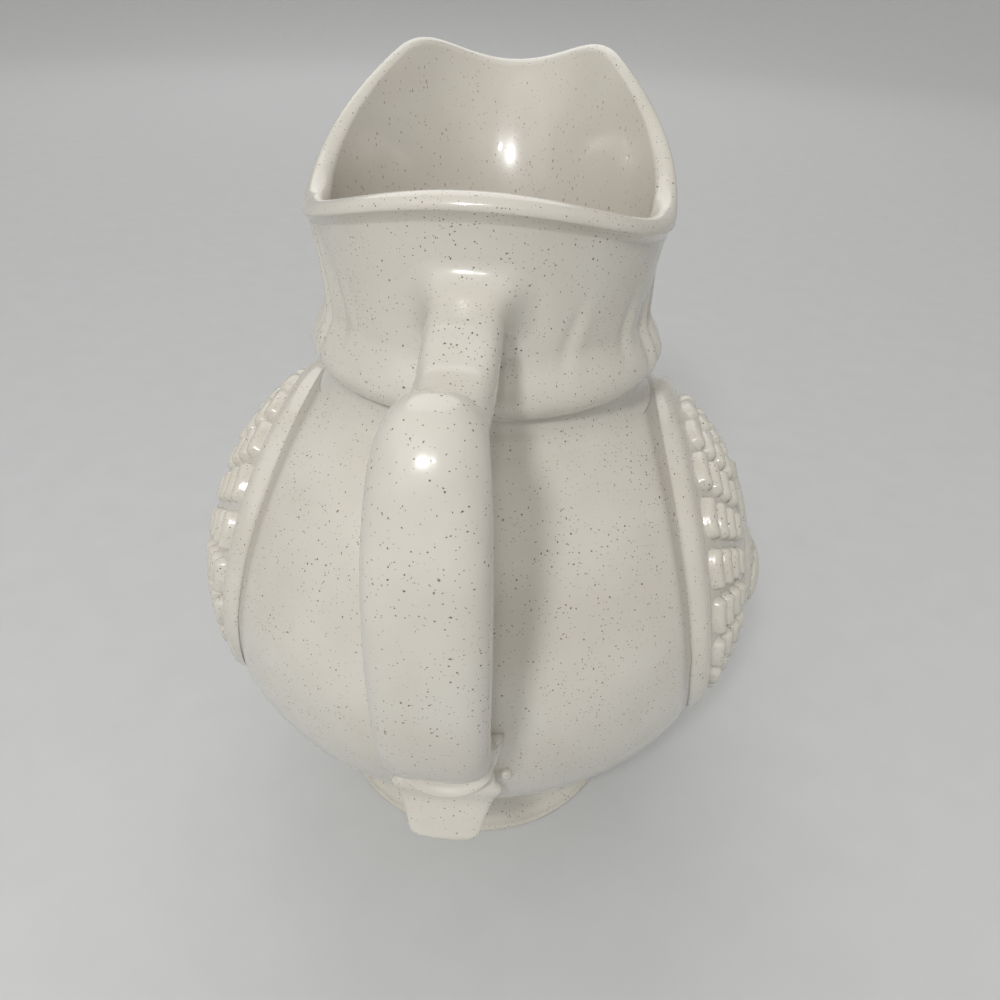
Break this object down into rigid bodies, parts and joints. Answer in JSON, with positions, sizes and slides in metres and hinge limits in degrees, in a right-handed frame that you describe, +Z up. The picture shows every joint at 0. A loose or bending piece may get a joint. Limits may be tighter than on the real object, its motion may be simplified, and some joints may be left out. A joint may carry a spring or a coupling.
{
  "type": "pitcher",
  "caption": "Glazed stoneware pitcher: globe body on a flared foot, wide neck with a raised pouring lip, strap handle, and a framed turkey relief on each side.",
  "frame": {"origin": "middle of the bounding box, on the table under the foot", "axes": "+Z up, handle towards -Y, pouring lip towards +Y, one relief on each X side"},
  "size_m": [0.1872, 0.2067, 0.2406],
  "materials": {
    "speckled_glaze": "glossy off-white glaze with fine iron speckle",
    "foot_glaze": "glossy off-white glaze, dry clay under the foot",
    "relief_glaze": "glossy off-white glaze pooled between the relief"
  },
  "bodies": {
    "root": {"body_shell": "speckled_glaze", "foot_ring": "foot_glaze", "neck_spout": "speckled_glaze", "handle_strap": "speckled_glaze", "handle_cuff": "speckled_glaze", "handle_tongue": "speckled_glaze", "scroll_eyes": "speckled_glaze", "left_frame": "relief_glaze", "right_frame": "relief_glaze", "left_fan": "relief_glaze", "right_fan": "relief_glaze", "left_bird": "relief_glaze", "right_bird": "relief_glaze", "left_wing": "relief_glaze", "right_wing": "relief_glaze", "left_head": "relief_glaze", "right_head": "relief_glaze", "left_ground": "relief_glaze", "right_ground": "relief_glaze"}
  },
  "joints": []
}
